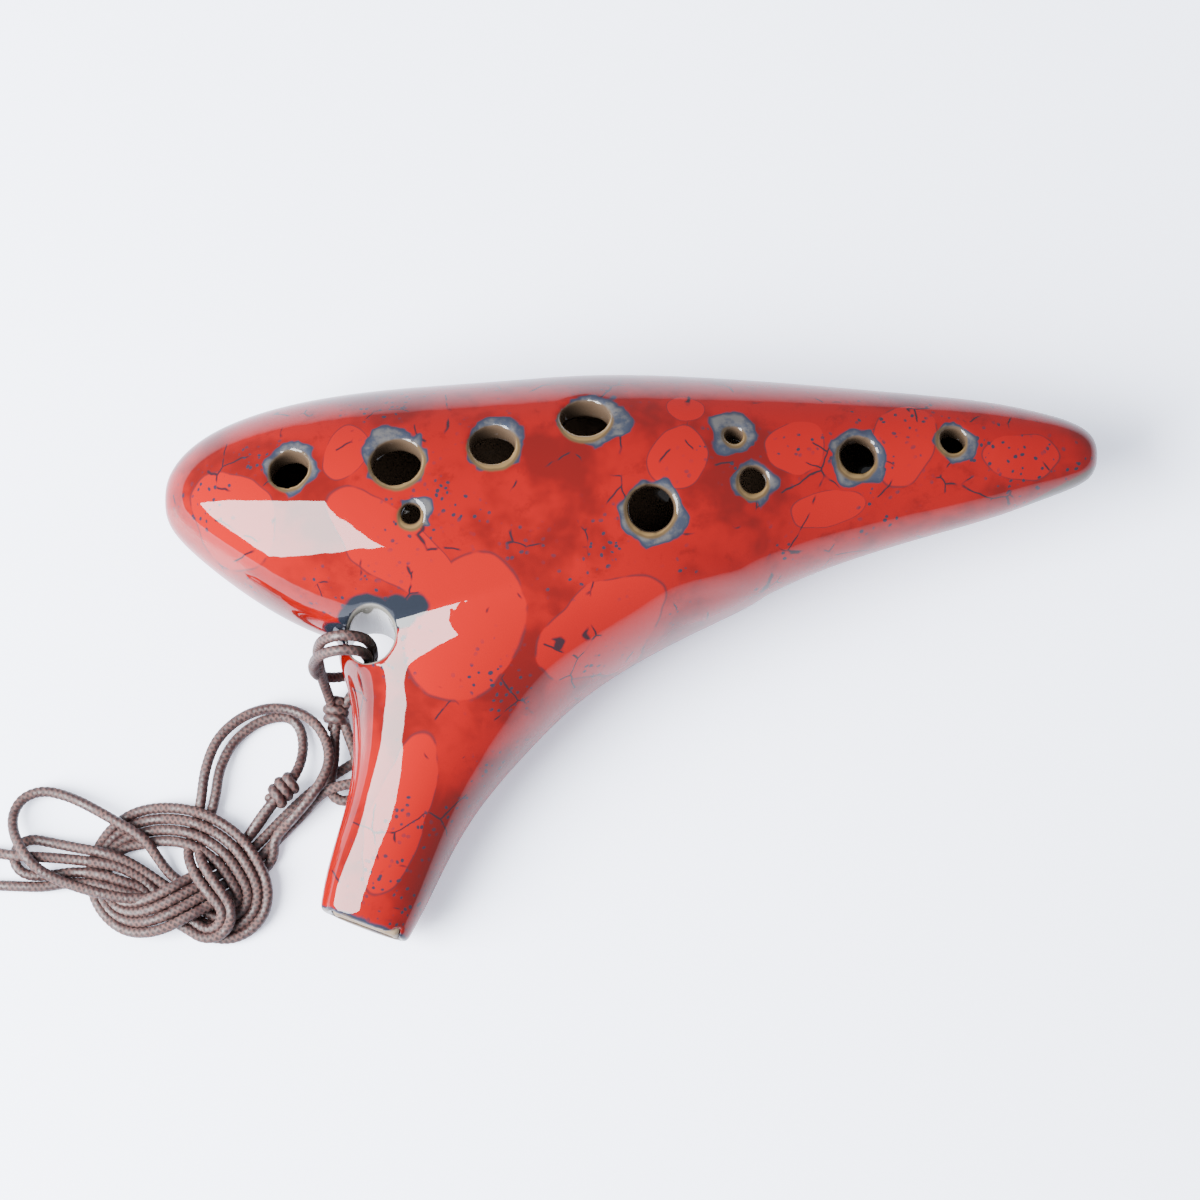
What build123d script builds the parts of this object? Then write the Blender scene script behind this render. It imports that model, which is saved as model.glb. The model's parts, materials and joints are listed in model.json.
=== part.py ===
from build123d import *
import math
import os

# A twelve-hole transverse ocarina in glazed clay, lying on its back with the
# finger holes up, and its neck cord. Millimetres. +X runs from the head to the
# tail, +Y away from the mouthpiece, +Z up. The origin is under the middle of
# the clay body, on the surface that it lies on.

# ------------------------------------------------------------ driving sizes
body_length = 171.0
body_width = 52.0
body_height = 44.0
belly_swell = 0.08
wall = 5.0

mouth_width = 18.4
mouth_height = 12.8
mouth_underside = 3.0
mouth_reach = 66.8
mouth_root_y = 18.0
flare_width = 72.0
root_depth = 2.0
blow_lean = 20.4
mouth_centre_share = -0.285

windway_length = 42.0
windway_width = 9.5
windway_inlet = 3.2
windway_outlet = 1.6
windway_fall = 3.9
windway_outlet_z = 2.8
roof_thickness = 3.2
land_width = 1.7
window_length = 6.0
ramp_length = 12.0
inner_ramp_length = 5.5

lanyard_bore = 9.0
lanyard_share = -0.275
lanyard_y = 1.2
lanyard_wall = 3.5

cord_diameter = 2.0
knot_diameter = 4.8
slide_knot_diameter = 3.6

cut_margin = 10.0
middle_z = body_height / 2 + belly_swell
flare_height = body_height - 2 * root_depth
mouth_middle_z = mouth_underside + mouth_height / 2
mouth_end_y = mouth_root_y - mouth_reach

# Sections across the chamber: share of the length from the middle, middle of
# the section in Y, share of the full width, share of the full height.
chamber_sections = [
    (-0.485, 28.4, 0.285, 0.300),
    (-0.464, 28.3, 0.415, 0.445),
    (-0.427, 27.5, 0.577, 0.618),
    (-0.352, 25.5, 0.800, 0.840),
    (-0.253, 24.2, 0.942, 0.973),
    (-0.149, 24.1, 1.000, 1.000),
    (-0.050, 25.3, 1.000, 1.000),
    (0.020, 26.5, 0.955, 0.968),
    (0.102, 28.9, 0.838, 0.873),
    (0.177, 31.6, 0.700, 0.759),
    (0.253, 33.5, 0.585, 0.650),
    (0.329, 34.9, 0.488, 0.555),
    (0.404, 36.0, 0.381, 0.445),
    (0.442, 36.5, 0.308, 0.359),
    (0.479, 36.7, 0.219, 0.259),
]
head_tip_y = 28.4
tail_tip_y = 36.6

# Sections along the mouthpiece, from its root inside the chamber to past its
# end: share of the reach, middle in X as a share of the body's length, share
# of the flare in width, share of the flare in height, height of the underside.
mouth_sections = [
    (0.000, -0.035, 1.000, 1.000, 2.0),
    (0.118, -0.066, 0.955, 0.993, 1.0),
    (0.212, -0.123, 0.840, 0.926, 0.5),
    (0.314, -0.161, 0.608, 0.824, 0.4),
    (0.379, -0.176, 0.463, 0.728, 0.4),
    (0.462, -0.193, 0.332, 0.596, 0.5),
    (0.561, -0.212, 0.213, 0.441, 0.8),
    (0.677, -0.235, 0.119, 0.287, 1.3),
    (0.841, -0.263, 0.056, 0.118, 2.2),
    (0.948, -0.277, 0.015, 0.015, 2.8),
    (1.210, -0.311, -0.010, -0.020, 3.4),
]
hollow_mouth_rows = 7

# Tone holes: share of the length, angle round the section from the crown
# towards +Y in degrees, diameter. The last two are the thumb holes, beneath.
finger_holes = [
    (-0.359, 12, 6.9),
    (-0.246, 15, 8.8),
    (-0.146, 22, 8.0),
    (-0.050, 33, 8.6),
    (-0.230, -8, 3.7),
    (0.019, -11, 8.2),
    (0.106, 19, 3.3),
    (0.126, -6, 4.8),
    (0.237, 0, 6.5),
    (0.339, 8, 4.7),
]
thumb_holes = [
    (-0.190, 172, 8.4),
    (0.072, 168, 8.0),
]

# The seam between the halves, in YZ: level round the chamber, then down to
# the middle of the mouthpiece.
seam_profile = [(-90, mouth_middle_z), (-44, mouth_middle_z), (-4, middle_z), (90, middle_z)]

# ------------------------------------------------------------- cord routes
# The hang loop: from its knot, twice through the lanyard hole and round the
# clay beside it, and back to the knot; then the small loop below the knot.
hang_route = [
    (-55.4, -8.4, 3.0), (-56.2, -5.6, 5.2), (-57.2, -3.0, 10.2), (-57.5, -0.8, 16.4),
    (-57.2, 0.5, 22.6), (-55.8, 1.2, 27.6), (-52.0, 1.5, 30.2), (-48.5, 1.4, 28.2),
    (-47.5, 1.3, 22.6), (-47.5, 1.2, 16.0), (-47.9, 0.6, 9.8), (-50.2, -0.8, 6.4),
    (-54.2, -1.9, 6.2), (-57.8, -2.4, 9.4), (-58.5, -2.3, 15.2), (-58.0, -1.9, 21.2),
    (-56.4, -1.4, 26.4), (-52.8, -1.1, 29.4), (-48.8, -1.0, 28.0), (-48.2, -0.9, 22.0),
    (-48.1, -0.8, 15.6), (-48.2, -0.6, 9.2), (-50.4, -2.4, 5.4), (-53.4, -6.4, 3.6),
    (-54.7, -8.8, 3.0),
]
tail_route = [
    (-55.3, -11.0, 2.8), (-55.3, -13.6, 2.6), (-55.3, -16.8, 2.7), (-55.9, -20.2, 3.0),
    (-56.0, -22.8, 3.2), (-54.9, -24.2, 3.2), (-53.3, -24.7, 3.2), (-51.7, -24.2, 3.2),
    (-50.6, -22.8, 3.2), (-50.6, -19.9, 3.1), (-51.5, -15.4, 3.0), (-53.0, -11.8, 2.9),
    (-53.6, -9.4, 2.8),
]
loop_route = [
    (-80.4, -29.8, 3.0), (-79.9, -24.4, 3.0), (-79.4, -18.6, 3.0), (-77.4, -12.8, 2.8),
    (-73.1, -8.7, 2.6), (-68.2, -6.9, 2.6), (-63.4, -7.2, 2.8), (-59.3, -9.4, 3.4),
    (-56.7, -13.2, 4.4), (-55.9, -17.6, 5.6), (-57.5, -21.6, 6.0), (-60.4, -25.4, 5.2),
    (-63.4, -28.6, 3.8), (-66.4, -31.6, 2.4),
]
inner_route = [
    (-77.8, -29.8, 2.0), (-77.4, -24.0, 2.1), (-76.9, -18.6, 1.8), (-74.9, -13.8, 1.3),
    (-71.3, -10.2, 1.1), (-67.4, -8.5, 1.1), (-63.9, -8.4, 1.2), (-61.8, -10.6, 1.4),
    (-61.1, -14.2, 2.0), (-61.6, -17.8, 3.2), (-63.0, -20.8, 4.3),
]
hang_knot_ends = [(-55.4, -4.6, 3.0), (-54.9, -11.4, 2.8)]
hitch_ends = [(-51.4, -18.2, 3.2), (-56.4, -21.8, 3.2)]
slide_knot_ends = [(-62.6, -20.2, 4.3), (-67.0, -25.4, 4.1)]
bundle_discs = [(-57.0, -22.4, 3.2), (-68.4, -33.6, 4.4)]
bundle_height = 3.6
knot_discs = [(-89.6, -36.4, 10.2), (-77.4, -38.2, 11.0), (-92.0, -44.2, 5.6)]
hank_height = 7.0
fold_discs = [(-109.6, -28.2, 5.6), (-119.2, -36.2, 4.2), (-96.0, -40.0, 4.4)]
fold_height = 5.6


# ------------------------------------------------------------------- clay
def section_plane(x, mid_y):
    """A plane across the chamber, with its local X along the body's +Y."""
    return Plane(origin=(x, mid_y, middle_z), x_dir=(0, 1, 0), z_dir=(1, 0, 0))


def chamber(inset):
    """The egg-shaped chamber, or its hollow when inset by the wall."""
    shrink = (body_length - 2 * inset) / body_length
    rings = []
    places = []
    for share, mid_y, width_share, height_share in chamber_sections:
        half_width = width_share * body_width / 2 - inset
        half_height = height_share * body_height / 2 - inset
        if min(half_width, half_height) < 1.2:
            continue
        x = share * body_length * shrink
        rings.append(section_plane(x, mid_y) * Ellipse(half_width, half_height))
        places.append((x, half_height))
    head_x = -body_length / 2 + inset
    tail_x = min(body_length / 2 - inset, places[-1][0] + places[-1][1])
    head = Vertex(head_x, head_tip_y, middle_z)
    tail = Vertex(tail_x, tail_tip_y, middle_z)
    return loft([head] + rings + [tail])


def mouth_row(row):
    """Y, middle X, half width, half height and underside of one section."""
    reach_share, centre_share, wide, high, underside = row
    half_width = mouth_width / 2 + wide * (flare_width - mouth_width) / 2
    half_height = mouth_height / 2 + high * (flare_height - mouth_height) / 2
    y = mouth_root_y - reach_share * mouth_reach
    return y, centre_share * body_length, half_width, half_height, underside


def mouthpiece(rows, inset):
    """The flaring mouthpiece, or its hollow when inset by the wall."""
    rings = []
    for row in rows:
        y, x, half_width, half_height, underside = mouth_row(row)
        plane = Plane(origin=(x, y, underside + half_height), x_dir=(1, 0, 0), z_dir=(0, -1, 0))
        rings.append(plane * Ellipse(half_width - inset, half_height - inset))
    return loft(rings)


def blow_plane():
    """Local X runs along the windway from the mouth's end, local Y is up."""
    lean = math.radians(blow_lean)
    along = (math.sin(lean), math.cos(lean), 0)
    across = (math.cos(lean), -math.sin(lean), 0)
    return Plane(origin=(mouth_centre_share * body_length, mouth_end_y, 0), x_dir=along, z_dir=across)


def blow_prism(profile, width):
    """A profile drawn along the windway, as wide as given about its middle."""
    face = blow_plane() * make_face(Polyline(*profile, close=True))
    return extrude(face, width / 2, both=True)


def floor_z(run):
    """Height of the windway's floor at a distance from the mouth's end."""
    return windway_outlet_z + windway_fall * (1 - run / windway_length)


def ceiling_z(run):
    """Height of the windway's ceiling, which narrows the slot inwards."""
    taper = (windway_inlet - windway_outlet) / windway_length
    return floor_z(run) + windway_inlet - taper * run


def outer_body():
    """The whole outside, with the mouth's end cut square to the windway."""
    body = chamber(0) + mouthpiece(mouth_sections, 0)
    beyond = blow_prism([(-60, -60), (0, -60), (0, 60), (-60, 60)], 80)
    return body - beyond


def lanyard_cylinder(radius):
    """An upright cylinder at the lanyard hole, through the whole height."""
    return Pos(lanyard_share * body_length, lanyard_y, middle_z) * Cylinder(radius, 2 * body_height)


def air_chamber():
    """The hollow inside, which leaves solid clay round the lanyard hole."""
    hollow = chamber(wall) + mouthpiece(mouth_sections[:hollow_mouth_rows], wall)
    return hollow - lanyard_cylinder(lanyard_bore / 2 + lanyard_wall)


def roof_block(start):
    """The clay slab that roofs the windway, from a start to the window."""
    end = windway_length
    profile = [
        (start, floor_z(start)),
        (end, floor_z(end)),
        (end, ceiling_z(end) + roof_thickness),
        (start, ceiling_z(start) + roof_thickness),
    ]
    return blow_prism(profile, windway_width + 2 * land_width)


def windway():
    """The flat tapering slot that the breath goes through."""
    start = -1
    end = windway_length
    profile = [
        (start, floor_z(start)),
        (end, floor_z(end)),
        (end, ceiling_z(end)),
        (start, ceiling_z(start)),
    ]
    return blow_prism(profile, windway_width)


def voicing_cut():
    """The window and the two ramps that leave the sounding edge."""
    near = windway_length
    far = windway_length + window_length
    edge_z = (floor_z(near) + ceiling_z(near)) / 2
    inside_z = wall + cut_margin / 2
    window = [(near, -cut_margin), (far, -cut_margin), (far, inside_z), (near, inside_z)]
    ramp = [(far, -cut_margin), (far, edge_z), (far + ramp_length, -0.3), (far + ramp_length, -cut_margin)]
    inner = [(far, edge_z), (far + inner_ramp_length, wall + 1.6), (far + inner_ramp_length, inside_z), (far, inside_z)]
    cut = blow_prism(window, windway_width)
    cut += blow_prism(ramp, windway_width)
    cut += blow_prism(inner, windway_width)
    return cut


def chamber_ring(share):
    """Middle Y, half width and half height of the chamber at a station."""
    for low, high in zip(chamber_sections, chamber_sections[1:]):
        if low[0] <= share <= high[0]:
            part = (share - low[0]) / (high[0] - low[0])
            mid_y, wide, tall = [a + part * (b - a) for a, b in zip(low[1:], high[1:])]
            return mid_y, wide * body_width / 2, tall * body_height / 2


def tone_hole(share, angle, diameter):
    """A drill through the wall, square to the surface, at a tone hole."""
    mid_y, half_width, half_height = chamber_ring(share)
    turn = math.radians(angle)
    point = Vector(
        share * body_length,
        mid_y + half_width * math.sin(turn),
        middle_z + half_height * math.cos(turn),
    )
    normal = Vector(0, math.sin(turn) / half_width, math.cos(turn) / half_height).normalized()
    depth = wall + cut_margin / 2
    drill = Cylinder(diameter / 2, 2 * depth)
    return Plane(origin=point, z_dir=normal) * drill


def tone_holes():
    """All the drills, for the fingers above and the thumbs beneath."""
    return [tone_hole(*hole) for hole in finger_holes + thumb_holes]


def front_region():
    """Everything above the seam."""
    top = 2 * body_height
    outline = seam_profile + [(seam_profile[-1][0], top), (seam_profile[0][0], top)]
    face = Plane.YZ * make_face(Polyline(*outline, close=True))
    return extrude(face, body_length, both=True)


def clay_parts():
    """The two halves of the shell and the block that roofs the windway."""
    shell = outer_body() - air_chamber() - lanyard_cylinder(lanyard_bore / 2)
    for drill in tone_holes():
        shell -= drill
    shell = shell - roof_block(-1) - windway() - voicing_cut()
    front = front_region()
    return {
        "front_shell": shell & front,
        "back_shell": shell - front,
        "windway_block": roof_block(0) - windway(),
    }


# ------------------------------------------------------------------- cord
def corner_radii(route):
    """The largest arc that the two runs at each corner leave room for."""
    points = [Vector(*point) for point in route]
    radii = []
    for before, corner, after in zip(points, points[1:], points[2:]):
        run_in = corner - before
        run_out = after - corner
        half_turn = math.radians(run_in.get_angle(run_out)) / 2
        radii.append(0.45 * min(run_in.length, run_out.length) / math.tan(half_turn))
    return radii


def cord_tube(name, route):
    """A round cord along a route of runs joined by tangent arcs."""
    radii = corner_radii(route)
    path = FilletPolyline(*route, radius=radii)
    start = Plane(origin=path @ 0, z_dir=path % 0)
    tube = sweep(start * Circle(cord_diameter / 2), path=path)
    ideal = math.pi * cord_diameter**2 / 4 * path.length
    print(name, "length", round(path.length, 1), "volume share", round(tube.volume / ideal, 4))
    print(name, "radii", [round(radius, 1) for radius in radii])
    return tube


def barrel(start, end, diameter):
    """A wrapped knot: a round bar with domed ends, between two points."""
    axis = Vector(*end) - Vector(*start)
    body = Cylinder(diameter / 2, axis.length)
    body = fillet(body.edges().filter_by(GeomType.CIRCLE), 0.4 * diameter)
    middle = (Vector(*start) + Vector(*end)) / 2
    return Plane(origin=middle, z_dir=axis.normalized()) * body


def lying_bundle(discs, height):
    """The outer shape of gathered strands: discs in plan, wrapped and raised."""
    plan = [edge for x, y, radius in discs for edge in (Pos(x, y) * Circle(radius)).edges()]
    return extrude(make_hull(plan), height)


def cord_parts():
    """The hang loop, the neck cord and their knots."""
    hang_knot = barrel(*hang_knot_ends, knot_diameter)
    hitch = barrel(*hitch_ends, knot_diameter)
    hang_loop = cord_tube("hang_loop", hang_route) - hang_knot
    bundle = lying_bundle(bundle_discs, bundle_height) - hitch
    tail = cord_tube("hang_loop_tail", tail_route) - hang_knot - hitch - bundle
    hank = lying_bundle(knot_discs, hank_height) + lying_bundle(fold_discs, fold_height)
    bundle = bundle - hank
    slide_knot = barrel(*slide_knot_ends, slide_knot_diameter) - bundle
    loop = cord_tube("neck_cord_loop", loop_route) - hank - bundle
    inner = cord_tube("neck_cord_inner_loop", inner_route) - hank - slide_knot
    return {
        "hang_loop": hang_loop,
        "hang_loop_knot": hang_knot,
        "hang_loop_tail": tail,
        "neck_cord_hitch": hitch,
        "neck_cord_bundle": bundle,
        "neck_cord_hank": hank,
        "neck_cord_loop": loop,
        "neck_cord_inner_loop": inner,
        "slide_knot": slide_knot,
    }


def main():
    os.makedirs("parts", exist_ok=True)
    parts = {**clay_parts(), **cord_parts()}
    for name, solid in parts.items():
        export_step(solid, f"parts/{name}.step")


main()
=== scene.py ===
import json
import math

import bmesh
import bpy
import numpy as np
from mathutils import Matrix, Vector


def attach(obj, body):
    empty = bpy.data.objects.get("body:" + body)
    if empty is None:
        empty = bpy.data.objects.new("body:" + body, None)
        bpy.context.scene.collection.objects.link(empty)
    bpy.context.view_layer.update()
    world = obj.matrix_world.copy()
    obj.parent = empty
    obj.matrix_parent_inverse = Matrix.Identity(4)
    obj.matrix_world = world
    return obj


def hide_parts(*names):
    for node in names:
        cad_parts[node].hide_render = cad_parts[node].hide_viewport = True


# The glazed ocarina on its back and its knotted neck cord. Metres.
MM = 0.001

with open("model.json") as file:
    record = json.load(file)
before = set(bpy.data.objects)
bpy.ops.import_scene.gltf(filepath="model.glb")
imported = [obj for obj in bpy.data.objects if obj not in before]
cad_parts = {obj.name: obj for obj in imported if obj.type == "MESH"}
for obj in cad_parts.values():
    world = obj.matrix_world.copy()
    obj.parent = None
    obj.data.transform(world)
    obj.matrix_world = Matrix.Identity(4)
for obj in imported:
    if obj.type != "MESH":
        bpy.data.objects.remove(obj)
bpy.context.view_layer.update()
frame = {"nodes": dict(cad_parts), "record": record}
nodes = frame["nodes"]
mounts = {mount["name"]: mount for mount in frame["record"]["mounts"]}

# ---------------------------------------------------------------- settings
voxel = 0.55 * MM
smoothing_rounds = 16
cord_radius = 1.0 * MM
strand_gap = 2.1
braid_step = 0.2 * MM
braid_sides = 20
braid_pitch = 1.05 * MM
braid_relief = 0.14
wrap_turns = 3
wrap_reach = 1.5 * MM
wrap_points = 24
wrap_margin = 0.12
wrap_end_share = 0.2
wrap_tuck = 0.45

table_edge = 1.6
table_glow = 0.5
key_place = (-0.70, -0.23, 0.60)
key_aim = (-0.02, 0, 0.02)
key_width = 0.62
key_height = 0.86
key_power = 84.0
sky_color = (0.86, 0.91, 1.0)
sky_strength = 1.15
camera_lean = math.radians(12)
camera_distance = 628 * MM
camera_aim = Vector((-5.85, 9.55, 22)) * MM
camera_lens = 103.3

# ------------------------------------------------------------------ routes
# Millimetres. The hang loop goes twice through the lanyard hole and round the
# clay beside it, back into its knot, and on round the small loop below it.
hang_route = [
    (-55.4, -8.4, 3.0), (-56.2, -5.6, 5.2), (-57.2, -3.0, 10.2), (-57.5, -0.8, 16.4),
    (-57.2, 0.5, 22.6), (-55.8, 1.2, 27.6), (-52.0, 1.5, 30.2), (-48.5, 1.4, 28.2),
    (-47.5, 1.3, 22.6), (-47.5, 1.2, 16.0), (-47.9, 0.6, 9.8), (-50.2, -0.8, 6.4),
    (-54.2, -1.9, 6.2), (-57.8, -2.4, 9.4), (-58.5, -2.3, 15.2), (-58.0, -1.9, 21.2),
    (-56.4, -1.4, 26.4), (-52.8, -1.1, 29.4), (-48.8, -1.0, 28.0), (-48.2, -0.9, 22.0),
    (-48.1, -0.8, 15.6), (-48.2, -0.6, 9.2), (-50.4, -2.4, 5.4), (-53.4, -6.4, 3.6),
    (-54.7, -8.8, 3.0),
]
tail_route = [
    (-55.3, -11.0, 2.8), (-55.3, -13.6, 2.6), (-55.3, -16.8, 2.7), (-55.9, -20.2, 3.0),
    (-56.0, -22.8, 3.2), (-54.9, -24.2, 3.2), (-53.3, -24.7, 3.2), (-51.7, -24.2, 3.2),
    (-50.6, -22.8, 3.2), (-50.6, -19.9, 3.1), (-51.5, -15.4, 3.0), (-53.0, -11.8, 2.9),
    (-53.6, -9.4, 2.8),
]
hang_knot_ends = [(-55.4, -4.6, 3.0), (-54.9, -11.4, 2.8)]
slide_knot_ends = [(-62.6, -20.2, 4.3), (-67.0, -25.4, 4.1)]

# The neck cord's large loop: its outer strand, and its inner strand down to
# the slide knot.
loop_route = [
    (-80.4, -29.8, 3.0), (-79.9, -24.4, 3.0), (-79.4, -18.6, 3.0), (-77.4, -12.8, 2.8),
    (-73.1, -8.7, 2.6), (-68.2, -6.9, 2.6), (-63.4, -7.2, 2.8), (-59.3, -9.4, 3.4),
    (-56.7, -13.2, 4.4), (-55.9, -17.6, 5.6), (-57.5, -21.6, 6.0), (-60.4, -25.4, 5.2),
    (-63.4, -28.6, 3.8), (-66.4, -31.6, 2.4),
]
inner_route = [
    (-77.8, -29.8, 2.0), (-77.4, -24.0, 2.1), (-76.9, -18.6, 1.8), (-74.9, -13.8, 1.3),
    (-71.3, -10.2, 1.1), (-67.4, -8.5, 1.1), (-63.9, -8.4, 1.2), (-61.8, -10.6, 1.4),
    (-61.1, -14.2, 2.0), (-61.6, -17.8, 3.2), (-63.0, -20.8, 4.3), (-65.2, -23.4, 4.3),
    (-67.6, -26.2, 3.8), (-69.8, -29.0, 2.4), (-71.8, -32.0, 1.4),
]

# The overhand knot: the middle of its four lanes, with how far apart they
# are, from the bundle at its right, over the folds and round to the left.
knot_route = [
    (-61.3, -25.4, 1.1, 1.0), (-65.0, -29.2, 1.1, 1.0), (-68.6, -33.1, 1.1, 1.0), (-71.7, -36.1, 1.2, 1.0),
    (-75.3, -38.8, 2.0, 1.0), (-79.6, -41.5, 4.0, 1.0), (-83.7, -44.0, 5.0, 1.0), (-88.0, -46.0, 4.2, 1.0),
    (-92.2, -46.4, 2.6, 0.9), (-96.0, -44.8, 1.2, 0.6), (-98.3, -41.5, 1.1, 0.5), (-99.0, -37.8, 1.1, 0.5),
    (-98.0, -34.2, 1.1, 0.5), (-95.4, -31.2, 1.1, 0.7), (-91.8, -29.4, 1.2, 1.0), (-87.2, -28.7, 2.2, 1.0),
    (-82.2, -29.3, 3.3, 1.0), (-77.7, -31.2, 3.5, 1.0), (-73.9, -34.2, 3.5, 1.0), (-70.6, -39.3, 3.3, 0.95),
    (-69.9, -41.8, 2.6, 0.9), (-70.3, -44.3, 2.1, 0.9), (-71.9, -46.2, 1.7, 0.9), (-74.1, -47.3, 1.3, 0.9),
    (-76.6, -47.2, 1.1, 0.9), (-79.0, -46.1, 1.1, 0.95), (-83.2, -43.2, 1.1, 1.0), (-86.8, -41.2, 1.3, 1.0),
]
# The way of the large loop's two strands through the same knot.
inner_pass = [
    (-79.8, -28.4, 1.4, 1.0), (-80.6, -31.4, 1.8, 1.0), (-81.2, -34.2, 3.4, 1.0), (-79.9, -37.6, 5.4, 1.0),
    (-77.4, -41.1, 5.6, 1.0), (-75.5, -43.4, 5.2, 0.8), (-74.6, -44.9, 4.8, 0.8), (-74.6, -46.8, 4.3, 0.8),
    (-75.5, -48.4, 3.6, 0.8), (-77.2, -49.3, 3.1, 0.8), (-79.1, -49.2, 2.9, 0.8), (-80.8, -48.1, 3.0, 0.8),
    (-84.3, -45.8, 3.1, 1.0), (-87.7, -43.6, 3.1, 1.0),
]
fold_a = [
    (-87.6, -35.4, 2.6, 0), (-90.1, -31.7, 3.6, 0), (-94.6, -29.0, 3.5, 0), (-100.7, -25.5, 3.0, 0),
    (-105.2, -23.4, 2.4, 0), (-109.7, -22.4, 2.0, 0), (-113.4, -23.8, 1.8, 0), (-115.0, -27.0, 2.4, 0),
    (-114.5, -30.6, 3.8, 0), (-112.4, -34.5, 5.2, 0), (-109.5, -37.7, 4.4, 0), (-104.4, -40.1, 3.6, 0),
    (-97.9, -42.0, 3.6, 0), (-92.9, -42.9, 3.4, 0),
]
fold_b = [
    (-90.6, -38.9, 2.0, 0), (-94.7, -36.8, 3.2, 0), (-98.8, -36.1, 3.4, 0), (-103.5, -35.5, 3.0, 0),
    (-108.4, -35.1, 3.1, 0), (-113.2, -34.9, 3.1, 0), (-117.1, -34.3, 2.0, 0), (-119.6, -33.7, 1.2, 0),
    (-121.7, -34.7, 1.1, 0), (-122.4, -36.8, 1.1, 0), (-121.7, -38.9, 1.1, 0), (-119.8, -40.1, 1.1, 0),
    (-117.1, -40.1, 1.1, 0), (-112.8, -40.4, 2.0, 0), (-108.4, -40.5, 1.8, 0), (-103.9, -39.6, 2.0, 0),
    (-98.3, -40.2, 3.2, 0), (-94.1, -41.4, 2.8, 0), (-90.6, -42.1, 2.2, 0),
]
fold_c = [
    (-90.9, -37.1, 2.2, 0), (-94.7, -35.2, 3.4, 0), (-98.4, -34.1, 3.4, 0), (-103.2, -33.2, 2.6, 0),
    (-108.0, -32.1, 1.4, 0), (-111.2, -31.4, 1.1, 0), (-113.6, -32.2, 1.1, 0), (-114.8, -34.5, 1.1, 0),
    (-114.0, -37.0, 1.1, 0), (-111.8, -38.3, 1.1, 0), (-108.2, -38.3, 1.1, 0), (-103.2, -37.6, 1.8, 0),
    (-98.3, -38.2, 3.3, 0), (-94.0, -39.6, 3.0, 0), (-90.2, -40.7, 2.0, 0),
]
# Where the neck cord is hooked round the small loop.
hitch_bight = [
    (-57.6, -20.8, 1.2, 0), (-54.2, -18.6, 1.1, 0), (-51.6, -17.0, 1.1, 0), (-49.3, -16.5, 1.5, 0),
    (-48.0, -17.3, 2.2, 0), (-47.6, -18.9, 3.2, 0), (-48.4, -20.4, 4.3, 0), (-50.4, -21.4, 5.1, 0),
    (-55.2, -22.2, 4.9, 0), (-58.2, -23.6, 2.8, 0),
]


# ------------------------------------------------------------------- tools
def new_object(name, mesh):
    """A mesh object in the scene."""
    piece = bpy.data.objects.new(name, mesh)
    bpy.context.scene.collection.objects.link(piece)
    return piece


def evaluated_mesh(piece, name):
    """The mesh that a piece shows with its modifiers, as a mesh of its own."""
    graph = bpy.context.evaluated_depsgraph_get()
    mesh = bpy.data.meshes.new_from_object(piece.evaluated_get(graph))
    mesh.name = name
    return mesh


def drop(piece):
    """Takes a helper object out of the scene."""
    mesh = piece.data
    bpy.data.objects.remove(piece)
    bpy.data.meshes.remove(mesh)


# --------------------------------------------------------------- clay body
def joined(*names):
    """CAD nodes run together in one mesh."""
    shape = bmesh.new()
    for name in names:
        shape.from_mesh(nodes[name].data)
    mesh = bpy.data.meshes.new(names[0])
    shape.to_mesh(mesh)
    shape.free()
    return new_object(names[0] + "_copy", mesh)


def fired(name, *names):
    """CAD nodes as the kiln leaves them: run together, with rounded edges."""
    piece = joined(*names)
    remesh = piece.modifiers.new("remesh", "REMESH")
    remesh.mode = "VOXEL"
    remesh.voxel_size = voxel
    remesh.use_smooth_shade = True
    smooth = piece.modifiers.new("smooth", "SMOOTH")
    smooth.factor = 0.5
    smooth.iterations = smoothing_rounds
    mesh = evaluated_mesh(piece, name)
    drop(piece)
    print(name, len(mesh.polygons), "faces")
    return new_object(name, mesh)


body = fired("glazed_body", "front_shell", "back_shell")
block = fired("windway_roof", "windway_block")


# ------------------------------------------------------------------- cords
def lane(route, place):
    """One strand of a group of parallel ones: the route moved sideways."""
    strand = []
    for index, (x, y, z, spread) in enumerate(route):
        before = route[max(index - 1, 0)]
        after = route[min(index + 1, len(route) - 1)]
        along = Vector((after[0] - before[0], after[1] - before[1])).normalized()
        shift = place * strand_gap * spread
        strand.append((x - along.y * shift, y + along.x * shift, z))
    return strand


def plain_route(route):
    return lane(route, 0)


def backwards(route):
    return list(reversed(route))


def neck_cord_route():
    """From the slide knot through the knot and its folds, and back to it."""
    way = [(-65.4, -23.4, 3.2), (-67.4, -26.0, 2.0)]
    way += lane(knot_route, -1.5)[2:]
    way += plain_route(fold_a)
    way += backwards(lane(inner_pass, -0.5))
    way += loop_route[1:]
    way += lane(knot_route, 1.5)[2:]
    way += backwards(plain_route(fold_c))
    way += backwards(lane(knot_route, -0.5))
    way += plain_route(hitch_bight)
    way += lane(knot_route, 0.5)
    way += plain_route(fold_b)
    way += backwards(lane(inner_pass, 0.5))
    way += inner_route[1:]
    return way


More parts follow.
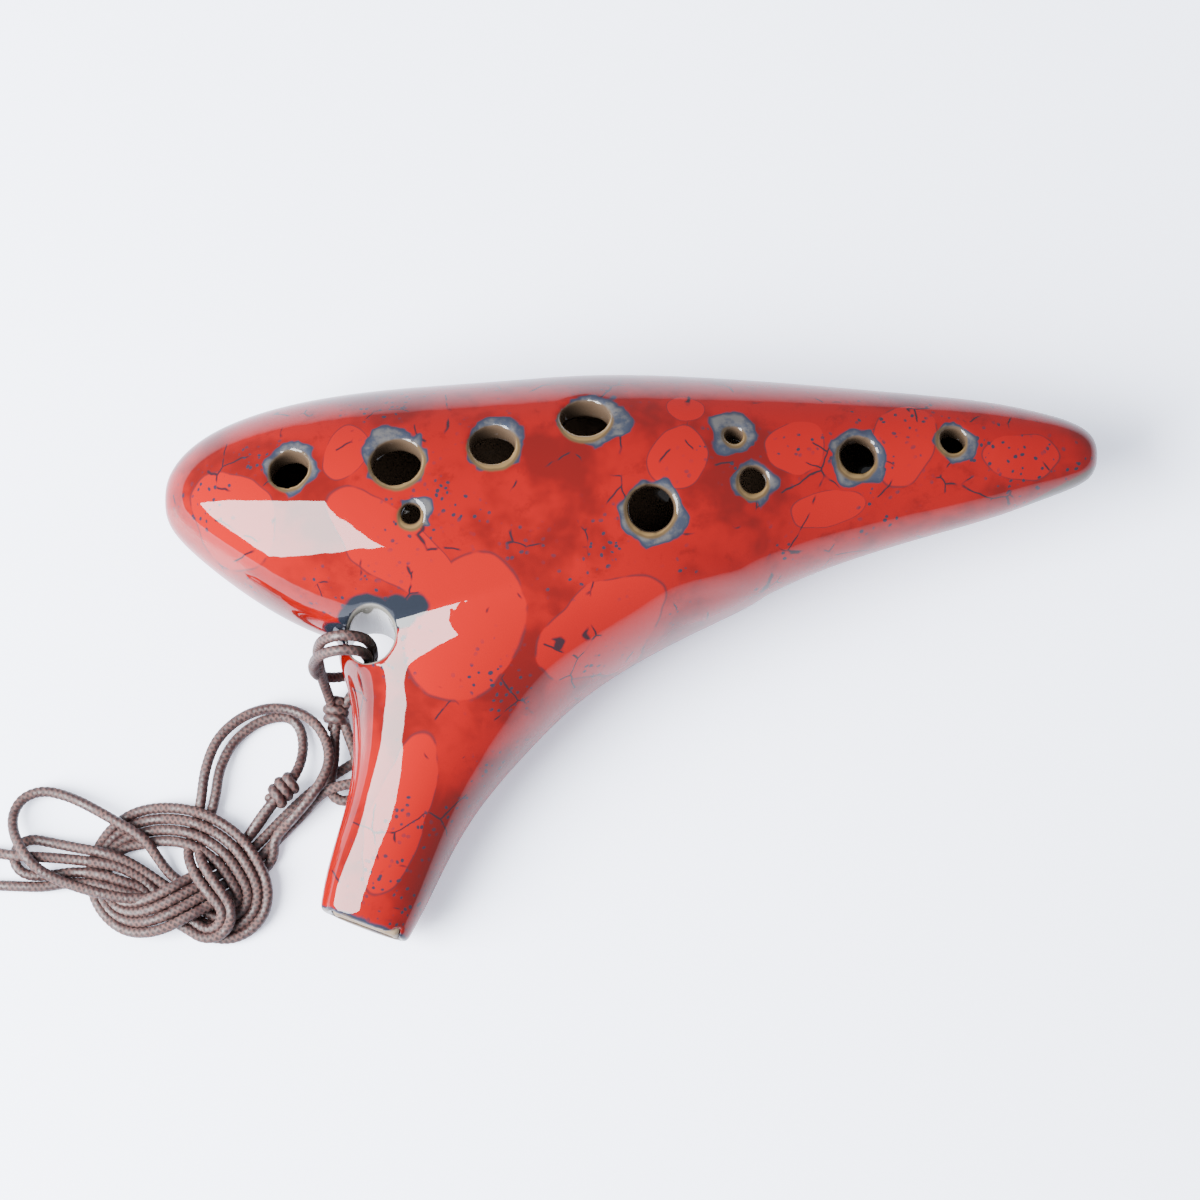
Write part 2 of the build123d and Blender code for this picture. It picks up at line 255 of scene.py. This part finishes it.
def centreline(name, route):
    """The smooth line of a route in millimetres, as points in metres."""
    curve = bpy.data.curves.new(name, "CURVE")
    curve.dimensions = "3D"
    curve.resolution_u = 12
    spline = curve.splines.new("NURBS")
    spline.points.add(len(route) - 1)
    for point, place in zip(spline.points, route):
        point.co = (*(Vector(place) * MM), 1)
    spline.order_u = 3
    spline.use_endpoint_u = True
    piece = bpy.data.objects.new(name, curve)
    bpy.context.scene.collection.objects.link(piece)
    mesh = evaluated_mesh(piece, name)
    line = np.array([vertex.co for vertex in mesh.vertices])
    bpy.data.objects.remove(piece)
    bpy.data.curves.remove(curve)
    bpy.data.meshes.remove(mesh)
    return line


def evenly(line, step):
    """The same line with its points a fixed step apart."""
    runs = np.linalg.norm(np.diff(line, axis=0), axis=1)
    line = line[np.concatenate([[True], runs > 1e-7])]
    runs = np.linalg.norm(np.diff(line, axis=0), axis=1)
    travelled = np.concatenate([[0], np.cumsum(runs)])
    places = np.linspace(0, travelled[-1], int(travelled[-1] / step) + 1)
    columns = [np.interp(places, travelled, line[:, axis]) for axis in range(3)]
    return np.stack(columns, axis=1), places


def side_axes(line):
    """Two directions across the line at each point, without any twist."""
    along = np.gradient(line, axis=0)
    along /= np.linalg.norm(along, axis=1)[:, None]
    first = np.zeros_like(line)
    side = np.cross(along[0], (0.0, 0.0, 1.0))
    if np.linalg.norm(side) < 0.1:
        side = np.cross(along[0], (1.0, 0.0, 0.0))
    for index, direction in enumerate(along):
        side = side - direction * np.dot(side, direction)
        side /= np.linalg.norm(side)
        first[index] = side
    return first, np.cross(along, first)


def braided_tube(name, line, radius):
    """A round braided cord along a line: eight strands, four each way."""
    points, places = evenly(line, braid_step)
    first, second = side_axes(points)
    turn = np.linspace(0, 2 * math.pi, braid_sides, endpoint=False)
    advance = math.pi * places[:, None] / braid_pitch
    one_way = np.abs(np.sin(2 * turn[None, :] + advance))
    other_way = np.abs(np.sin(2 * turn[None, :] - advance))
    ridge = np.maximum(one_way, other_way) ** 1.5
    reach = radius * (1 - braid_relief + braid_relief * ridge)
    around = first[:, None, :] * np.cos(turn)[None, :, None]
    around = around + second[:, None, :] * np.sin(turn)[None, :, None]
    rings = points[:, None, :] + around * reach[:, :, None]
    count = len(points)
    grid = np.arange(count * braid_sides).reshape(count, braid_sides)
    turned = np.roll(grid, -1, axis=1)
    faces = np.stack([grid[:-1], turned[:-1], turned[1:], grid[1:]], axis=-1).reshape(-1, 4)
    ends = [list(reversed(grid[0].tolist())), grid[-1].tolist()]
    mesh = bpy.data.meshes.new(name)
    mesh.from_pydata(rings.reshape(-1, 3).tolist(), [], faces.tolist() + ends)
    mesh.update()
    for polygon in mesh.polygons:
        polygon.use_smooth = True
    shade = mesh.attributes.new("ridge", "FLOAT", "POINT")
    shade.data.foreach_set("value", ridge.reshape(-1).astype(np.float32))
    print(name, "length", round(places[-1] / MM, 1), "mm,", len(mesh.polygons), "faces")
    return new_object(name, mesh)


def wrapping(ends):
    """The turns of a wrapped knot, as a line round the axis between its ends.

    They stop short of both ends, and the end turns are tucked in.
    """
    start = Vector(ends[0]) * MM
    axis = Vector(ends[1]) * MM - start
    direction = axis.normalized()
    side = direction.cross(Vector((0, 0, 1))).normalized()
    rise = side.cross(direction)
    line = []
    count = wrap_turns * wrap_points
    for index in range(count + 1):
        share = index / count
        angle = 2 * math.pi * wrap_turns * share
        past = max(0.0, abs(2 * share - 1) - (1 - wrap_end_share)) / wrap_end_share
        reach = wrap_reach * (1 - wrap_tuck * past)
        place = start + axis * (wrap_margin + (1 - 2 * wrap_margin) * share)
        line.append(place + (side * math.cos(angle) + rise * math.sin(angle)) * reach)
    return np.array(line)


# --------------------------------------------------------------- materials
class Paint:
    """A material's node tree, with a short method for each kind of node."""

    def __init__(self, name, **sockets):
        self.material = bpy.data.materials.new(name)
        self.material.use_nodes = True
        self.tree = self.material.node_tree
        self.shader = self.tree.nodes["Principled BSDF"]
        for socket, value in sockets.items():
            self.shader.inputs[socket.replace("_", " ")].default_value = value
        self.place = self.node("ShaderNodeTexCoord").outputs["Object"]

    def node(self, kind, inputs=(), **settings):
        made = self.tree.nodes.new(kind)
        for setting, value in settings.items():
            setattr(made, setting, value)
        for socket, value in dict(inputs).items():
            if isinstance(value, bpy.types.NodeSocket):
                self.tree.links.new(value, made.inputs[socket])
            else:
                made.inputs[socket].default_value = value
        return made

    def sum(self, operation, first, second=0.0):
        return self.node("ShaderNodeMath", {0: first, 1: second}, operation=operation).outputs[0]

    def vector(self, operation, first, second=(0, 0, 0)):
        made = self.node("ShaderNodeVectorMath", {0: first, 1: second}, operation=operation)
        return made.outputs["Value" if operation in ("LENGTH", "DISTANCE") else "Vector"]

    def step(self, value, start, end):
        """Rises smoothly from 0 at start to 1 at end."""
        sockets = {"Value": value, "From Min": start, "From Max": end}
        return self.node("ShaderNodeMapRange", sockets, interpolation_type="SMOOTHSTEP").outputs[0]

    def band(self, value, middle, width):
        """1 where a value is near the middle, falling to 0 a width away."""
        away = self.sum("ABSOLUTE", self.sum("SUBTRACT", value, middle))
        return self.step(away, width, 0.0)

    def mix(self, share, low, high):
        sockets = {0: share}
        for socket, color in ((6, low), (7, high)):
            sockets[socket] = color if isinstance(color, bpy.types.NodeSocket) else (*color, 1)
        return self.node("ShaderNodeMix", sockets, data_type="RGBA").outputs[2]

    def noise(self, size, detail=3.0, rough=0.5, place=None, color=False):
        """Cloudy variation with features of about a size in millimetres."""
        sockets = {"Vector": place or self.place, "Scale": 1 / (size * MM)}
        sockets["Detail"] = detail
        sockets["Roughness"] = rough
        made = self.node("ShaderNodeTexNoise", sockets)
        return made.outputs["Color" if color else "Fac"]

    def cells(self, size, feature, place=None):
        """Distances in a pattern of irregular cells of about a size in millimetres."""
        sockets = {"Vector": place or self.place, "Scale": 1 / (size * MM)}
        return self.node("ShaderNodeTexVoronoi", sockets, feature=feature).outputs["Distance"]

    def warped(self, size, reach):
        """The place, pushed about by a cloudy noise."""
        push = self.vector("SUBTRACT", self.noise(size, 2.0, color=True), (0.5, 0.5, 0.5))
        scaled = self.node("ShaderNodeVectorMath", {0: push, 3: reach * MM}, operation="SCALE")
        return self.vector("ADD", self.place, scaled.outputs["Vector"])

    def use(self, socket, value):
        self.tree.links.new(value, self.shader.inputs[socket])

    def bump(self, height, strength, distance):
        sockets = {"Height": height, "Strength": strength, "Distance": distance * MM}
        self.use("Normal", self.node("ShaderNodeBump", sockets).outputs["Normal"])


# A point on the chamber's long axis.
chamber_middle = (0, 27 * MM, 22 * MM)
lanyard_bore_edge = (4.7 * MM, 5.0 * MM)
petals_start = (8 * MM, 14 * MM)

vermilion = (0.148, 0.0004, 0.0001)
bright_red = (0.182, 0.0005, 0.0001)
muted_red = (0.072, 0.0012, 0.0007)
petal_line = (0.040, 0.006, 0.008)
crack_color = (0.016, 0.005, 0.008)
speck_color = (0.014, 0.010, 0.018)
soot_color = (0.007, 0.009, 0.014)
smoke_blue = (0.018, 0.022, 0.034)
smoke_grey = (0.052, 0.050, 0.050)
smoke_dark = (0.012, 0.014, 0.026)
tan_rim = (0.050, 0.031, 0.013)
pale_rim = (0.100, 0.062, 0.024)
# Bare clay's colour, made dark as painted shade for the hole walls and the hollow.
bare_clay_and_shade = (0.045, 0.030, 0.020)
lanyard_clay = (0.110, 0.105, 0.092)
clay_dark = (0.09, 0.06, 0.035)
clay_pale = (0.16, 0.11, 0.06)
cord_dark = (0.030, 0.010, 0.009)
cord_pale = (0.078, 0.034, 0.029)
# Painted shade for the grooves between the braid's strands.
cord_groove_shade = (0.013, 0.005, 0.005)
table_cool = (0.78, 0.83, 0.97)
table_pale = (0.82, 0.86, 0.99)

# The middles of the holes on the surface and their radii, in millimetres.
hole_spots = [
    ((-61.1, 29.4, 39.1), 3.4), ((-41.9, 29.8, 42.4), 4.4), ((-24.8, 32.8, 42.4), 4.0),
    ((-8.5, 38.1, 40.5), 4.3), ((-39.3, 20.0, 43.0), 1.8), ((3.1, 21.3, 42.7), 4.1),
    ((18.0, 35.3, 39.6), 1.6), ((21.3, 27.1, 39.9), 2.4), ((40.2, 32.3, 36.4), 3.2),
    ((57.6, 36.2, 33.4), 2.3), ((-32.5, 27.7, 0.6), 4.2), ((12.3, 32.8, 2.5), 4.0),
]
# How far the smoky patch reaches round each of them, where it leans, and how
# its corners are turned, in degrees.
smoke_spots = [
    (1.2, (0.2, 0.6), 8), (0.9, (-0.4, 1.7), 48), (0.9, (0.7, 0.9), 42), (1.1, (1.7, 0.5), 2),
    (0.6, (1.1, 1.0), 40), (1.3, (0.7, -0.3), 12), (2.2, (0.0, 1.6), 24), (1.3, (0.6, 0.3), -6),
    (1.4, (0.2, 0.4), 28), (0.8, (0.8, 0.0), 0), (2.0, (0.0, 0.0), 0), (2.0, (0.0, 0.0), 0),
]
# The dark patch above the lanyard hole.
soot_spots = [
    ((-46.6, 5.0, 31.0), 6.2), ((-52.4, 4.2, 26.0), 3.8), ((-41.6, 5.6, 34.0), 3.8),
    ((-38.2, 6.4, 36.0), 2.4),
]
# Brushed petals of brighter glaze, seen from above: middle, half length, half
# width, and the turn of the long side from +X in degrees.
petals = [
    ((-51.4, 33.0), 6.2, 4.0, 80), ((-43.0, 15.4), 14.0, 5.6, -40),
    ((-29.8, 1.2), 13.0, 10.0, 64), ((9.0, 40.6), 3.4, 3.2, 0),
    ((49.0, 35.6), 8.0, 5.6, 70), ((71.0, 34.4), 7.8, 4.6, 4),
    ((35.0, 24.0), 7.0, 3.0, 12), ((8.0, 31.0), 6.4, 5.0, 40),
    ((29.5, 34.0), 5.4, 4.4, 20), ((-72.0, 22.0), 9.0, 7.0, -50),
    ((-42.0, -30.0), 14.0, 5.0, 72), ((-6.0, 2.0), 13.0, 6.0, 30),
]


def hole_gap(paint, place, spots):
    """How far a place is outside the nearest of some round spots."""
    nearest = None
    for spot, radius in spots:
        away = paint.vector("DISTANCE", place, [value * MM for value in spot])
        gap = paint.sum("SUBTRACT", away, radius * MM)
        nearest = gap if nearest is None else paint.sum("MINIMUM", nearest, gap)
    return nearest


def smoke_gap(paint, place):
    """How far a place is outside the nearest smoky patch, round with blunt corners."""
    nearest = None
    for (spot, radius), (reach, (lean_x, lean_y), turn) in zip(hole_spots, smoke_spots):
        leaned = [(spot[0] + lean_x) * MM, (spot[1] + lean_y) * MM, spot[2] * MM]
        offset = paint.vector("SUBTRACT", place, leaned)
        turned = paint.node(
            "ShaderNodeVectorRotate", {"Vector": offset, "Angle": math.radians(turn)},
            rotation_type="Z_AXIS",
        ).outputs[0]
        sides = paint.node("ShaderNodeSeparateXYZ", {0: paint.vector("ABSOLUTE", turned)}).outputs
        square = paint.sum("MULTIPLY", paint.sum("ADD", sides[0], sides[1]), math.sqrt(0.5))
        circle = paint.vector("LENGTH", offset)
        away = paint.sum("MULTIPLY", paint.sum("ADD", square, circle), 0.5)
        gap = paint.sum("SUBTRACT", away, (radius + reach) * MM)
        nearest = gap if nearest is None else paint.sum("MINIMUM", nearest, gap)
    return nearest


def hole_bore(paint):
    """How far a place is from the lanyard hole's axis, whatever its height."""
    from_axis = paint.vector("SUBTRACT", paint.place, mounts["lanyard_hole"]["pos_m"])
    return paint.vector("LENGTH", paint.vector("MULTIPLY", from_axis, (1, 1, 0)))


def turned_outwards(paint):
    """About 1 outside the chamber, 0 in a hole's wall and -1 in the hollow.

    It is measured from one straight axis, so it is lower on the tail's slopes.
    """
    from_axis = paint.vector("SUBTRACT", paint.place, chamber_middle)
    across = paint.vector("NORMALIZE", paint.vector("MULTIPLY", from_axis, (0, 1, 1)))
    normal = paint.node("ShaderNodeNewGeometry").outputs["Normal"]
    made = paint.node("ShaderNodeVectorMath", {0: across, 1: normal}, operation="DOT_PRODUCT")
    return made.outputs["Value"]


def past_mouth_end(paint):
    """How far a place is beyond the mouthpiece's end."""
    end = mounts["mouth_end"]
    offset = paint.vector("SUBTRACT", paint.place, end["pos_m"])
    made = paint.node("ShaderNodeVectorMath", {0: offset, 1: end["axis"]}, operation="DOT_PRODUCT")
    return made.outputs["Value"]


def petal_edge(paint, place):
    """Below 1 inside the nearest petal, 1 along its edge."""
    nearest = None
    for (x, y), half_length, half_width, turn in petals:
        mapped = paint.node("ShaderNodeMapping", {
            "Vector": place,
            "Location": (x * MM, y * MM, 0),
            "Rotation": (0, 0, math.radians(turn)),
            "Scale": (half_length * MM, half_width * MM, 1.0),
        }, vector_type="TEXTURE")
        flat = paint.vector("MULTIPLY", mapped.outputs[0], (1, 1, 0))
        reach = paint.vector("LENGTH", flat)
        nearest = reach if nearest is None else paint.sum("MINIMUM", nearest, reach)
    return nearest


def ground_color(paint, loose):
    """Vermilion, clouded and streaked with a muted red."""
    clouds = paint.step(paint.noise(24, 4.0, 0.6, loose), 0.44, 0.60)
    color = paint.mix(clouds, vermilion, muted_red)
    streaks = paint.step(paint.noise(5, 4.0, 0.7, loose), 0.52, 0.72)
    return paint.mix(paint.sum("MULTIPLY", streaks, 0.6), color, muted_red)


def with_petals(paint, color, loose, height):
    """Brushed petals of brighter red on the upper side, with worn dark outlines."""
    edge = petal_edge(paint, loose)
    above = paint.step(height, *petals_start)
    inside = paint.sum("MULTIPLY", paint.step(edge, 1.02, 0.98), above)
    color = paint.mix(inside, color, bright_red)
    worn = paint.step(paint.noise(6, 3.0), 0.36, 0.48)
    outline = paint.sum("MULTIPLY", paint.band(edge, 1.0, 0.040), worn)
    outline = paint.sum("MULTIPLY", outline, above)
    return paint.mix(paint.sum("MULTIPLY", outline, 0.85), color, petal_line)


def with_cracks(paint, color, loose, fine):
    """Short hair cracks and crowds of specks."""
    crack = paint.step(paint.cells(9, "DISTANCE_TO_EDGE", fine), 0.026, 0.008)
    seldom = paint.step(paint.noise(7, 2.0, 0.5, loose), 0.55, 0.60)
    color = paint.mix(paint.sum("MULTIPLY", crack, seldom), color, crack_color)
    speck = paint.step(paint.cells(1.5, "F1", fine), 0.30, 0.20)
    crowd = paint.step(paint.noise(13, 3.0, 0.6), 0.50, 0.62)
    return paint.mix(paint.sum("MULTIPLY", speck, crowd), color, speck_color)


def with_smoke(paint, color, fine):
    """Smoky patches round the holes, and soot above the lanyard hole."""
    smoke = smoke_gap(paint, paint.warped(5, 4.5))
    color = paint.mix(paint.step(smoke, 0.6 * MM, 0.2 * MM), color, smoke_dark)
    misty = paint.mix(paint.step(paint.noise(3.5, 4.0, 0.65), 0.40, 0.62), smoke_blue, smoke_grey)
    color = paint.mix(paint.step(smoke, 0.3 * MM, -0.6 * MM), color, misty)
    soot = hole_gap(paint, fine, soot_spots)
    return paint.mix(paint.step(soot, 0.5 * MM, -0.3 * MM), color, soot_color)


def with_bare_and_shaded_holes(paint, color, depth):
    """Tan rims round the holes, and bare clay in their walls and the hollow, painted darker than the clay
    as painted shade.
    """
    rim = hole_gap(paint, paint.warped(3, 0.7), hole_spots)
    color = paint.mix(paint.step(rim, 1.1 * MM, 0.5 * MM), color, tan_rim)
    color = paint.mix(paint.step(rim, 0.45 * MM, 0.1 * MM), color, pale_rim)
    outwards = turned_outwards(paint)
    near_hole = paint.step(rim, 4.0 * MM, 2.5 * MM)
    # Painted shade: the walls of the holes and the hollow get the dark clay colour.
    bore_shade = paint.sum("MULTIPLY", paint.step(outwards, 0.70, 0.35), near_hole)
    in_chamber = paint.step(depth, 2 * MM, 8 * MM)
    hollow = paint.sum("MULTIPLY", paint.step(outwards, -0.20, -0.40), in_chamber)
    color = paint.mix(paint.sum("MAXIMUM", bore_shade, hollow), color, bare_clay_and_shade)
    lanyard = paint.step(hole_bore(paint), lanyard_bore_edge[1], lanyard_bore_edge[0])
    return paint.mix(lanyard, color, lanyard_clay)


def with_mouth_edge(paint, color):
    """A dark line and then a tan edge at the mouthpiece's end."""
    ragged = paint.sum("MULTIPLY", paint.noise(3), 1.2 * MM)
    end_gap = paint.sum("ADD", past_mouth_end(paint), ragged)
    color = paint.mix(paint.step(end_gap, -1.1 * MM, -0.6 * MM), color, smoke_dark)
    return paint.mix(paint.step(end_gap, -0.6 * MM, 0.1 * MM), color, tan_rim)


def glaze_material():
    """Vermilion glaze with brushed petals, specks, and smoky holes."""
    paint = Paint(
        "glaze", Roughness=0.3, Specular_IOR_Level=0.0,
        Coat_Weight=0.6, Coat_Roughness=0.02, Coat_IOR=1.5,
    )
    _, depth, height = paint.node("ShaderNodeSeparateXYZ", {0: paint.place}).outputs
    loose = paint.warped(14, 5.0)
    fine = paint.warped(5, 2.0)
    color = ground_color(paint, loose)
    color = with_petals(paint, color, loose, height)
    color = with_cracks(paint, color, loose, fine)
    color = with_smoke(paint, color, fine)
    color = with_bare_and_shaded_holes(paint, color, depth)
    color = with_mouth_edge(paint, color)
    paint.use("Base Color", color)
    paint.bump(paint.noise(9, 2.0), 0.12, 0.5)
    return paint.material


def clay_material():
    """Bare fired clay inside the windway."""
    paint = Paint("clay", Roughness=0.75)
    color = paint.mix(paint.noise(4, 4.0), clay_dark, clay_pale)
    paint.use("Base Color", color)
    paint.bump(paint.noise(0.8), 0.3, 0.2)
    return paint.material


def cord_look():
    """Waxed brown braid: painted shade between the strands, the cord's own colour along their tops."""
    paint = Paint("waxed_cord", Roughness=0.5)
    ridge = paint.node("ShaderNodeAttribute", attribute_name="ridge").outputs["Fac"]
    worn = paint.step(paint.noise(2.2, 3.0, 0.6), 0.35, 0.70)
    strand = paint.mix(worn, cord_dark, cord_pale)
    # Painted shade: the grooves between the strands are darkened.
    color = paint.mix(paint.step(ridge, 0.55, 1.0), cord_groove_shade, strand)
    paint.use("Base Color", color)
    paint.use("Roughness", paint.step(worn, -1.6, 1.8))
    paint.bump(paint.noise(0.18, 2.0), 0.35, 0.12)
    return paint.material


def table_material():
    """A smooth pale table top, lit evenly."""
    paint = Paint("table", Roughness=0.22)
    color = paint.mix(paint.noise(160, 3.0), table_cool, table_pale)
    paint.use("Base Color", color)
    paint.use("Emission Color", color)
    paint.shader.inputs["Emission Strength"].default_value = table_glow
    return paint.material


cord_material = cord_look()


def dress_cord(piece):
    piece.data.materials.append(cord_material)
    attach(piece, "root")


hang_line = centreline("hang_line", hang_route + tail_route)
hang_cord = braided_tube("hang_cord", hang_line, cord_radius)
neck_line = centreline("neck_line", neck_cord_route())
neck_cord = braided_tube("neck_cord", neck_line, cord_radius)
hang_wraps = braided_tube("hang_knot_wraps", wrapping(hang_knot_ends), cord_radius)
slide_wraps = braided_tube("slide_knot_wraps", wrapping(slide_knot_ends), cord_radius)
for piece in (hang_cord, neck_cord, hang_wraps, slide_wraps):
    dress_cord(piece)


def length_of(line):
    return float(np.linalg.norm(np.diff(line, axis=0), axis=1).sum())


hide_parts("hang_loop", "hang_loop_tail")
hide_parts("hang_loop_knot")
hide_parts("neck_cord_hitch", "neck_cord_bundle", "neck_cord_hank", "neck_cord_loop",
            "neck_cord_inner_loop")
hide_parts("slide_knot")
length_of(hang_line)
length_of(neck_line)


body.data.materials.clear()
body.data.materials.append(glaze_material())
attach(body, "root")
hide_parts("front_shell", "back_shell")

block.data.materials.clear()
block.data.materials.append(clay_material())
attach(block, "root")
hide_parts("windway_block")


# ------------------------------------------------------------------- stage
def floor():
    """A plain pale table top, slightly glossy."""
    mesh = bpy.data.meshes.new("table")
    signs = ((-1, -1), (1, -1), (1, 1), (-1, 1))
    corners = [(x * table_edge, y * table_edge, 0) for x, y in signs]
    mesh.from_pydata(corners, [], [(0, 1, 2, 3)])
    piece = new_object("table", mesh)
    mesh.materials.append(table_material())


def aimed(name, data, place, direction):
    """A light or camera at a place, turned to look along a direction."""
    piece = bpy.data.objects.new(name, data)
    piece.location = place
    piece.rotation_mode = "QUATERNION"
    piece.rotation_quaternion = direction.to_track_quat("-Z", "Y")
    bpy.context.scene.collection.objects.link(piece)
    return piece


def lighting():
    """One large soft box at the left, and a pale world."""
    light = bpy.data.lights.new("key", "AREA")
    light.shape = "RECTANGLE"
    light.size = key_width
    light.size_y = key_height
    light.energy = key_power
    aimed("key", light, key_place, Vector(key_aim) - Vector(key_place))
    world = bpy.data.worlds.new("studio")
    world.use_nodes = True
    sky = world.node_tree.nodes["Background"].inputs
    sky["Color"].default_value = (*sky_color, 1)
    sky["Strength"].default_value = sky_strength
    bpy.context.scene.world = world


def camera():
    """Nearly overhead, leaning a little towards the mouthpiece."""
    back = Vector((0, -math.sin(camera_lean), math.cos(camera_lean)))
    data = bpy.data.cameras.new("camera")
    data.sensor_width = 36
    data.lens = camera_lens
    data.clip_start = 0.05
    place = camera_aim + back * camera_distance
    bpy.context.scene.camera = aimed("camera", data, place, -back)


floor()
lighting()
camera()
